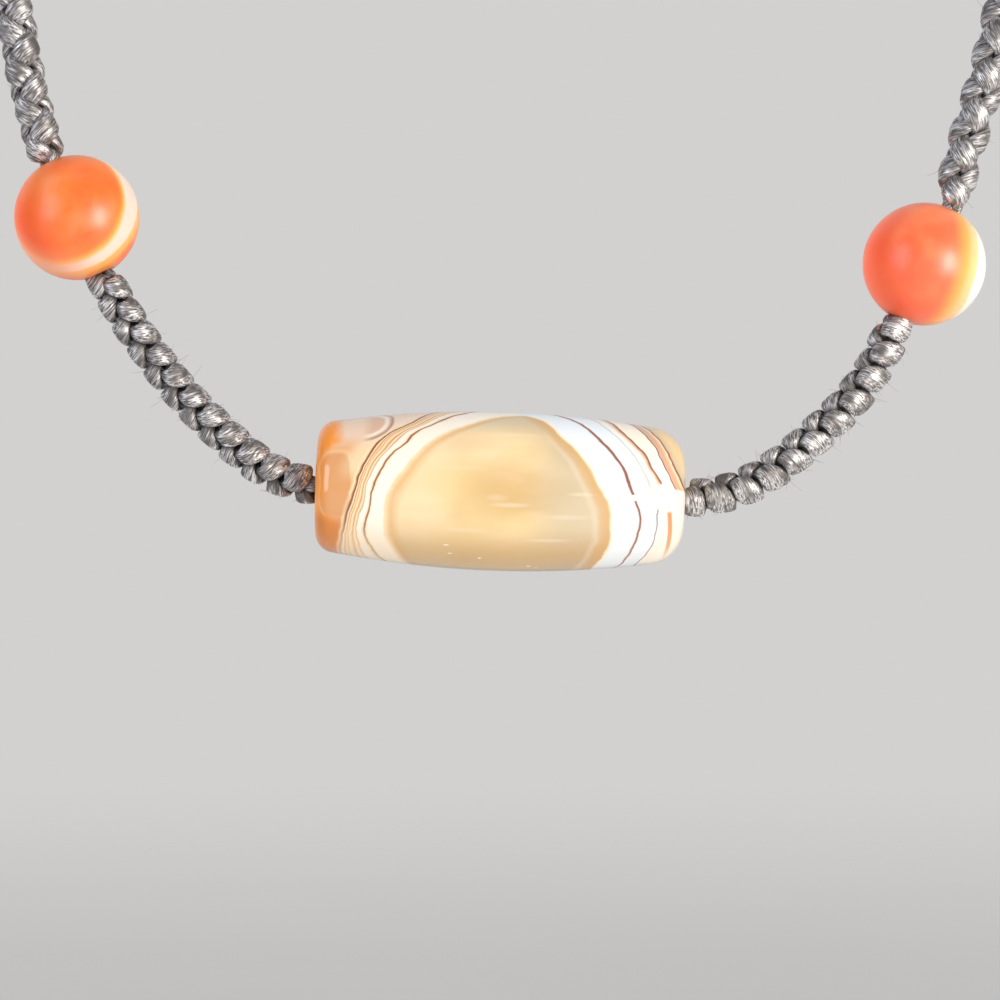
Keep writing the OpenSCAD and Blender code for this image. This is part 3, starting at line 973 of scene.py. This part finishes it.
class NECKLACE_OT_barrel(bpy.types.Operator):
    """Turn the drilled agate barrel and give it its bands."""

    bl_idname = "necklace.barrel"
    bl_label = "Agate Barrel"

    def execute(self, context):
        stone = context.scene.necklace_barrel
        half, bore, soft = stone.length / 2, stone.bore / 2, 0.25 * MM
        sink = stone.curve_radius - stone.diameter / 2
        centres, corner_turns = [], []
        for way, corner in ((-1, stone.left_round), (1, stone.right_round)):
            reach, inner_curve = half - corner, stone.curve_radius - corner
            centres.append((way * reach, math.sqrt(inner_curve**2 - reach**2) - sink))
            corner_turns.append(way * math.asin(reach / inner_curve))
        (left, right), (left_turn, right_turn) = centres, corner_turns
        skin = np.vstack([
            [(-half, bore + soft)],
            np.linspace((-half, bore + 2 * soft), (-half, left[1] - soft), 10),
            arc(left, stone.left_round, -math.pi / 2, left_turn, 24),
            arc((0, -sink), stone.curve_radius, left_turn, right_turn, 72)[1:-1],
            arc(right, stone.right_round, right_turn, math.pi / 2, 32),
            np.linspace((half, right[1] - soft), (half, bore + 2 * soft), 10),
            [(half, bore + soft)],
        ])
        place = ROUTE.seat(ROUTE.barrel)
        piece = turned_stone("barrel_stone", place, barrel_material(), skin, half, bore, soft, 12)
        finish_piece(piece, "barrel_agate", "agate_barrel")
        return {"FINISHED"}


class NECKLACE_OT_round_beads(bpy.types.Operator):
    """Turn the two drilled round beads of orange agate."""

    bl_idname = "necklace.round_beads"
    bl_label = "Round Beads"

    def execute(self, context):
        bore, soft = context.scene.necklace_bead.bore / 2, 0.2 * MM
        for side, look in BEADS.items():
            radius = bead_radius(side)
            mouth = math.asin(bore / radius)
            skin_turn = math.pi / 2 - mouth - soft / radius
            skin = arc((0, 0), radius, -skin_turn, skin_turn, 96)
            place = ROUTE.seat(getattr(ROUTE, side + "_bead"))
            material = bead_material(side.title() + " Bead Agate", look, place.to_3x3().transposed())
            piece = turned_stone(
                side + "_bead_stone", place, material, skin, radius * math.cos(mouth), bore, soft, 10)
            finish_piece(piece, "orange_agate", "round_bead_" + side)
        return {"FINISHED"}


class NECKLACE_OT_knots(bpy.types.Operator):
    """Sweep the two knotted strands, which coil side by side, half a turn apart."""

    bl_idname = "necklace.knots"
    bl_label = "Knotted Strands"

    def execute(self, context):
        sizes = context.scene.necklace_knots
        half = context.scene.necklace_barrel.length / 2
        # First and last place, turns and hold of the knots on the left and on the right
        stretches = (
            (ROUTE.left_bead + bead_radius("left") + LOBE_ROOM, ROUTE.barrel - half - LOBE_ROOM,
             sizes.left_turns, LEFT_HOLD),
            (ROUTE.barrel + half + LOBE_ROOM, ROUTE.right_bead - bead_radius("right") - LOBE_ROOM,
             sizes.right_turns, RIGHT_HOLD),
        )
        random = np.random.default_rng(RANDOM_SEED)
        material = thread_material("Knotted Satin Thread", 0.1, 0.7, 0.45, 0.3)
        for name, hand, leads in (("a", -1, (1, 0.5)), ("b", 1, (0.5, 1))):
            path, tuck = self.strand(sizes, stretches, hand, self.rows(stretches, leads), random)
            add_strand("knotted_strand_" + name, "knotted_thread", "knot_strand_" + name, material,
                       KNOT_SIDES, path, tuck, hand * 30 * MM, KNOT_YARNS)
        return {"FINISHED"}

    def rows(self, stretches, leads):
        """Places and turns of one strand, from above the left bead to above the right bead."""
        coils = []
        for (first, last, count, hold), lead in zip(stretches, leads):
            turn = np.arange(round((count + 2 * lead) * KNOT_RINGS) + 1) / KNOT_RINGS
            held = hold * np.sin(FULL_TURN * turn) / FULL_TURN
            place = first + (last - first) / count * (turn - lead - held)
            coils.append(np.stack([place, FULL_TURN * turn], 1))

        def bore(start, end):
            s = np.linspace(start, end, max(3, math.ceil((end - start) / MM)))
            return np.stack([s, 0 * s], 1)

        one, two = coils
        return np.vstack([
            bore(ROUTE.left_bead - KNOT_TAIL, one[0, 0])[:-1], one,
            bore(one[-1, 0], two[0, 0])[1:-1], two,
            bore(two[-1, 0], ROUTE.right_bead + KNOT_TAIL)[1:],
        ])

    def strand(self, size, stretches, hand, rows, random):
        """Path of a strand and how tucked in it is; hand is -1 for strand a and 1 for strand b."""
        s, turn = rows.T
        # 0 in the stones' bores, 1 in the knots
        opened = np.maximum(*[
            ease(np.minimum(s - first + OPEN_ROOM, last + OPEN_ROOM - s) / OPEN_LENGTH)
            for first, last, _, _ in stretches])
        closed = 1 - opened
        places = [getattr(ROUTE, stone) + offset * MM for stone, offset, _ in KNOT_ROLLS]
        roll = np.radians(np.interp(s, places, [degrees for _, _, degrees in KNOT_ROLLS]))[:, None]
        side = ROUTE.side(s)
        pair = np.cos(roll) * side + np.sin(roll) * BACK
        # The left stretch is knotted the other way round from the right one
        way = np.where(s < ROUTE.barrel, -1, 1)[:, None]
        through = way * (np.sin(roll) * side - np.cos(roll) * BACK)
        u = closed * size.thread_offset + opened * (size.coil_offset + size.coil_across * np.cos(turn))
        v = opened * size.coil_through * np.sin(turn)
        middle = ROUTE.at(s) + pair * (hand * u)[:, None] + through * v[:, None]
        outward = pair * (hand * np.cos(turn))[:, None] + through * np.sin(turn)[:, None]
        outside = (1 + np.cos(turn)) / 2
        lobe = 2 * np.arange(len(rows)) / KNOT_RINGS
        uneven = 0.06 * np.interp(lobe, np.arange(100), random.uniform(-1, 1, 100))
        width = blend(size.pinch_width, size.width, outside) * (1 + uneven)
        thickness = blend(size.pinch_thickness, size.thickness, outside) * (1 - uneven)
        # The thread bulges where it comes out of a stone
        bulge = 4 * opened * closed
        path = (middle, outward, closed * size.thread + opened * width + BULGE_WIDTH * bulge,
                closed * size.thread + opened * thickness + BULGE_THICKNESS * bulge)
        return path, 1 - np.maximum(outside * opened, bulge)


class NECKLACE_OT_braids(bpy.types.Operator):
    """Braid the four strands above each round bead."""

    bl_idname = "necklace.braids"
    bl_label = "Braided Cord"

    def execute(self, context):
        braid = context.scene.necklace_braid
        material = thread_material("Braided Satin Thread", 0.1, 0.8, 0.3, 0.9)
        random = np.random.default_rng(RANDOM_SEED)
        for side, nape, bead, roll in (
            ("left", NAPE_GAP, ROUTE.left_bead, braid.left_roll),
            ("right", ROUTE.along[-1] - NAPE_GAP, ROUTE.right_bead, braid.right_roll),
        ):
            for name, hand, phase in (("a", 1, 0), ("b", 1, math.pi), ("c", -1, 0), ("d", -1, math.pi)):
                path, tuck = self.strand(braid, nape, bead, roll, hand, phase + roll, random)
                start = float(random.uniform(0, 20)) * MM
                add_strand("braid_" + side + "_strand_" + name, "braided_thread", "braid_" + side, material,
                           BRAID_SIDES, path, tuck, start, BRAID_YARNS)
        return {"FINISHED"}

    def strand(self, braid, nape, bead, roll, hand, phase, random):
        """A strand wound to one hand, which passes over and under the two of the other hand."""
        end = bead - math.copysign(1, bead - nape) * BRAID_TAIL
        count = round(abs(end - nape) / braid.period * BRAID_RINGS)
        s = np.linspace(nape, end, count)
        turn = phase + hand * FULL_TURN * (s - end) / braid.period
        outside = (1 + hand * np.cos(2 * (turn - roll))) / 2
        # The strands draw together above the bead
        spread = ease((abs(bead - nape) - np.abs(s - nape) - BRAID_TAIL) / BRAID_NECK)
        knots = np.linspace(0, 1, max(4, count // 12))
        uneven = np.interp(np.linspace(0, 1, count), knots, random.uniform(-1, 1, len(knots)))
        width = blend(braid.inner_width, braid.width, outside) * (1 + 0.05 * uneven)
        thickness = blend(braid.inner_thickness, braid.thickness, outside)
        outer_r = (braid.diameter - braid.thickness) / 2
        inner_r = outer_r - (braid.thickness + braid.inner_thickness) / 2
        radius = blend(inner_r, outer_r, outside) * (1 + 0.03 * uneven) * blend(NECK_RADIUS, 1, spread)
        slim = blend(NECK_STRAND, 1, spread)
        outward = np.cos(turn)[:, None] * ROUTE.side(s) - np.sin(turn)[:, None] * BACK
        middle = ROUTE.at(s) + outward * radius[:, None]
        return (middle, outward, width * slim, thickness * slim), 1 - outside


class NECKLACE_OT_stray_fibres(bpy.types.Operator):
    """Let short stray fibres stand off the knots and the braid."""

    bl_idname = "necklace.stray_fibres"
    bl_label = "Stray Fibres"

    def execute(self, context):
        random = np.random.default_rng(RANDOM_SEED)
        material = thread_material("Stray Satin Fibre", 0.05, 1.0, 0.0)
        # Name, start of the strands' names, points in a strand's ring, fibres on each strand, slot
        for name, prefix, sides, hairs, slot in (
            ("knot_stray_fibres", "knotted_strand_", KNOT_SIDES, 150, "knotted_thread"),
            ("braid_stray_fibres", "braid_", BRAID_SIDES, 70, "braided_thread"),
        ):
            points, places, faces = [], [], []
            strands = [piece for piece in bpy.data.objects
                       if piece.name.startswith(prefix) and "_strand_" in piece.name]
            for strand in sorted(strands, key=lambda piece: piece.name):
                for _ in range(hairs):
                    self.grow(strand.data, sides, random, points, places, faces)
            finish_piece(mesh_object(name, np.vstack(points), faces, material, np.vstack(places)), slot)
        return {"FINISHED"}

    def grow(self, mesh, sides, random, points, places, faces):
        """Add one curved hair at a random outer point of a strand's surface."""
        from_route = 0.0
        while from_route <= HAIR_ROOT:
            index = int(random.integers(0, len(mesh.vertices) - sides))
            root = np.array(mesh.vertices[index].co)
            across = np.hypot(ROUTE.curve[:, 0] - root[0], ROUTE.curve[:, 1] - root[2]).min()
            from_route = max(across, abs(root[1]))
        lean = unit(np.array(mesh.vertices[index + sides].co) - root) * random.choice((-1, 1))
        normal = np.array(mesh.vertices[index].normal)
        length = random.uniform(0.35, 1.1) * MM
        sway = random.normal(0, 0.35, 3)
        t = np.linspace(0, 1, HAIR_RINGS)[:, None]
        bow = t * (0.75 * lean + 0.3 * normal) + t**2 * (0.35 * normal + sway)
        middle = root - normal * 0.05 * MM + length * bow
        size = (0.034 - 0.018 * t[:, 0]) * MM
        outward = np.cross(lean, normal)[None] + 0 * middle
        ring, place = strand_rings(middle, outward, size, size, HAIR_SIDES)
        faces.extend(tube_faces(HAIR_RINGS, HAIR_SIDES, sum(len(each) for each in points)))
        points.append(ring)
        places.append(place)


class NECKLACE_OT_sleeve(bpy.types.Operator):
    """Wrap the thread that joins the two ends of the cord at the nape."""

    bl_idname = "necklace.sleeve"
    bl_label = "Nape Sleeve"

    def execute(self, context):
        braid = context.scene.necklace_braid
        low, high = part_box("nape_sleeve")
        count = math.floor(braid.sleeve_length / braid.wrap) - 1
        run = braid.sleeve_length / 2 - braid.wrap / 2
        turn = np.linspace(0, count, count * WRAP_RINGS + 1)
        x = -run + 2 * run * turn / count
        # The two ends of the thread dip under the wrapping
        tucked = ease(np.minimum(turn, count - turn) / 0.3)
        radius = (braid.sleeve_diameter - braid.wrap) / 2 - 0.25 * MM * (1 - tucked)
        outward = np.stack([0 * turn, -np.cos(FULL_TURN * turn), np.sin(FULL_TURN * turn)], 1)
        middle = outward * radius[:, None] + np.stack([x, 0 * x, (low.z + high.z) / 2 + 0 * x], 1)
        size = np.full(len(turn), braid.wrap)
        material = thread_material("Wrapped Sleeve Thread", 0.12, 0.8, 0.5)
        add_strand("nape_wrapping", "sleeve_thread", "nape_sleeve", material, WRAP_SIDES,
                   (middle, outward, size * 1.04, size))
        return {"FINISHED"}


class NECKLACE_PT_panel(bpy.types.Panel):
    """Lists the necklace's pieces and their sizes and colours."""

    bl_label = "Agate Necklace"
    bl_idname = "NECKLACE_PT_panel"
    bl_space_type = "VIEW_3D"
    bl_region_type = "UI"
    bl_category = "Necklace"

    def draw(self, context):
        for operator in OPERATORS:
            self.layout.operator(operator.bl_idname)
        for name, group in SETTINGS.items():
            box = self.layout.box()
            box.label(text=group.__doc__)
            for field in group.__annotations__:
                box.prop(getattr(context.scene, name), field)


OPERATORS = (NECKLACE_OT_studio, NECKLACE_OT_barrel, NECKLACE_OT_round_beads, NECKLACE_OT_knots,
             NECKLACE_OT_braids, NECKLACE_OT_stray_fibres, NECKLACE_OT_sleeve)


def register():
    for part in (*SETTINGS.values(), *OPERATORS, NECKLACE_PT_panel):
        bpy.utils.register_class(part)
    for name, group in SETTINGS.items():
        setattr(bpy.types.Scene, name, PointerProperty(type=group))


def unregister():
    for name in SETTINGS:
        delattr(bpy.types.Scene, name)
    for part in (NECKLACE_PT_panel, *reversed(OPERATORS), *reversed(SETTINGS.values())):
        bpy.utils.unregister_class(part)


def main():
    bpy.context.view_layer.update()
    register()
    bpy.ops.necklace.studio()
    bpy.ops.necklace.barrel()
    bpy.ops.necklace.round_beads()
    bpy.ops.necklace.knots()
    bpy.ops.necklace.braids()
    bpy.ops.necklace.stray_fibres()
    bpy.ops.necklace.sleeve()


if __name__ == "__main__":
    main()
